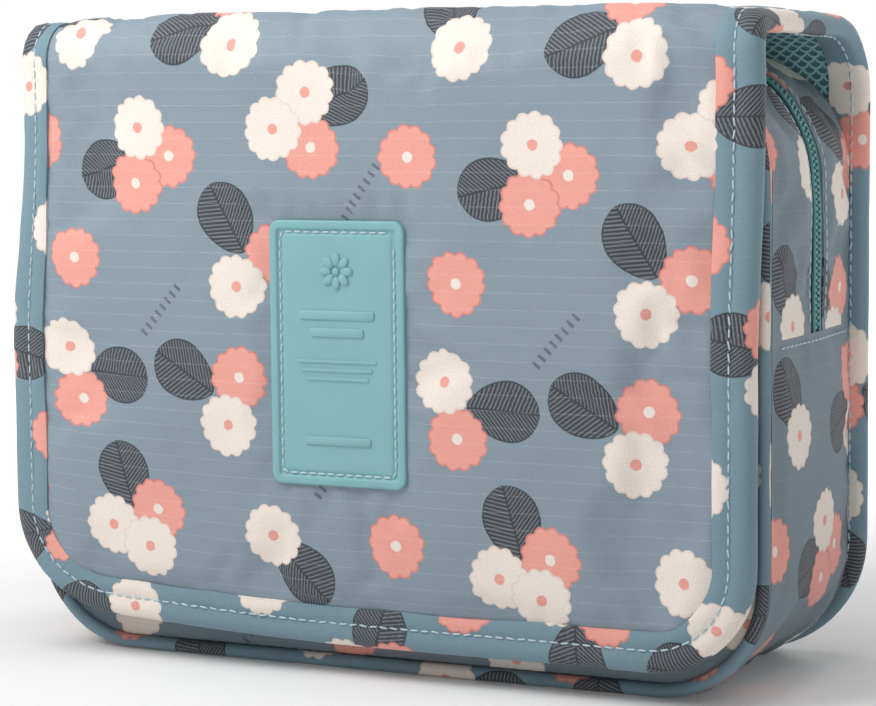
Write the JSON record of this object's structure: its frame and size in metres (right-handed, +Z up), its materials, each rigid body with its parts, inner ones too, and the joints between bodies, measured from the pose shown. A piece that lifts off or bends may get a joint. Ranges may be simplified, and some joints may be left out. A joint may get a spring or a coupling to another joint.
{
  "type": "hanging toiletry bag",
  "caption": "Soft gusseted toiletry bag with a padded fold-over cover, a zip over its top and a hanging hook inside the cover.",
  "frame": {"origin": "middle of the base, on the surface that the bag stands on", "axes": "+Z up, -Y out of the front cover, +X to the right of somebody facing it"},
  "size_m": [0.246, 0.09, 0.19],
  "materials": {
    "print_fabric": "printed matte woven cloth",
    "binding_fabric": "printed matte woven tape",
    "lining_fabric": "thin printed lining",
    "foam": "soft foam wadding",
    "mesh_fabric": "open knitted mesh",
    "webbing": "ribbed tape",
    "zip_tape": "woven zip tape",
    "zip_coil": "moulded nylon coil",
    "zip_metal": "satin painted die cast",
    "patch_rubber": "matte moulded rubber",
    "hook_plastic": "satin moulded plastic",
    "board": "flat stiffener",
    "hook_loop": "hook-and-loop tape"
  },
  "bodies": {
    "root": {"back_panel": "print_fabric", "back_foam": "foam", "back_binding": "binding_fabric", "rear_fold_roll": "print_fabric", "lower_gusset": "print_fabric", "rear_upper_gusset": "print_fabric", "rear_zip_tape": "zip_tape", "rear_zip_coil": "zip_coil", "zip_end_tabs": "print_fabric", "front_lower_panel": "print_fabric", "lower_piping": "binding_fabric", "body_lining": "lining_fabric", "base_board": "board", "slip_pocket": "lining_fabric", "slip_pocket_elastic": "webbing", "closure_loop_strips": "hook_loop"},
    "spine": {"spine_panel": "print_fabric", "spine_foam": "foam", "spine_lining": "lining_fabric", "spine_binding": "binding_fabric", "front_fold_roll": "print_fabric"},
    "cover": {"cover_panel": "print_fabric", "cover_foam": "foam", "cover_lining": "lining_fabric", "cover_binding": "binding_fabric", "label_patch": "patch_rubber", "pocket_border": "webbing", "pocket_mesh": "mesh_fabric", "pocket_zip_tape": "zip_tape", "pocket_zip_coil": "zip_coil", "hook_tab": "webbing", "hook_pin": "hook_plastic", "closure_hook_strips": "hook_loop"},
    "lid": {"lid_front_panel": "print_fabric", "lid_gusset": "print_fabric", "lid_piping": "binding_fabric", "lid_zip_tape": "zip_tape", "lid_zip_coil": "zip_coil", "lid_lining": "lining_fabric"},
    "main_slider": {"main_zip_slider": "zip_metal"},
    "main_pull": {"main_zip_pull": "zip_metal"},
    "pocket_slider": {"pocket_zip_slider": "zip_metal"},
    "pocket_pull": {"pocket_zip_pull": "webbing"},
    "hook": {"hanging_hook": "hook_plastic"}
  },
  "joints": [
    {"name": "spine_fold", "type": "hinge", "parent": "root", "child": "spine", "pos_m": [0, 0.0384, 0.1834], "axis": [-1, 0, 0], "range_deg": [0, 90]},
    {"name": "cover_fold", "type": "hinge", "parent": "spine", "child": "cover", "pos_m": [0, -0.0372, 0.1834], "axis": [-1, 0, 0], "range_deg": [0, 90]},
    {"name": "lid_open", "type": "hinge", "parent": "root", "child": "lid", "pos_m": [0, -0.0323, 0.1], "axis": [1, 0, 0], "range_deg": [0, 41]},
    {"name": "main_zip_slide", "type": "slide", "parent": "root", "child": "main_slider", "axis": [0, 0, 1], "range_m": [0, 0.029]},
    {"name": "main_pull_swing", "type": "hinge", "parent": "main_slider", "child": "main_pull", "pos_m": [-0.1214, 0.005, 0.1105], "axis": [0, 1, 0], "range_deg": [0, 150]},
    {"name": "pocket_zip_slide", "type": "slide", "parent": "cover", "child": "pocket_slider", "axis": [1, 0, 0], "range_m": [0, 0.156]},
    {"name": "pocket_pull_swing", "type": "hinge", "parent": "pocket_slider", "child": "pocket_pull", "pos_m": [-0.078, -0.0359, 0.133], "axis": [0, 1, 0], "range_deg": [-80, 80]},
    {"name": "hook_swing", "type": "hinge", "parent": "cover", "child": "hook", "pos_m": [0, -0.0353, 0.028], "axis": [0, 1, 0], "range_deg": [0, 180]}
  ],
  "couplings": [
    {"joint": "lid_open", "follows": "spine_fold", "ratio": 0.45}
  ]
}
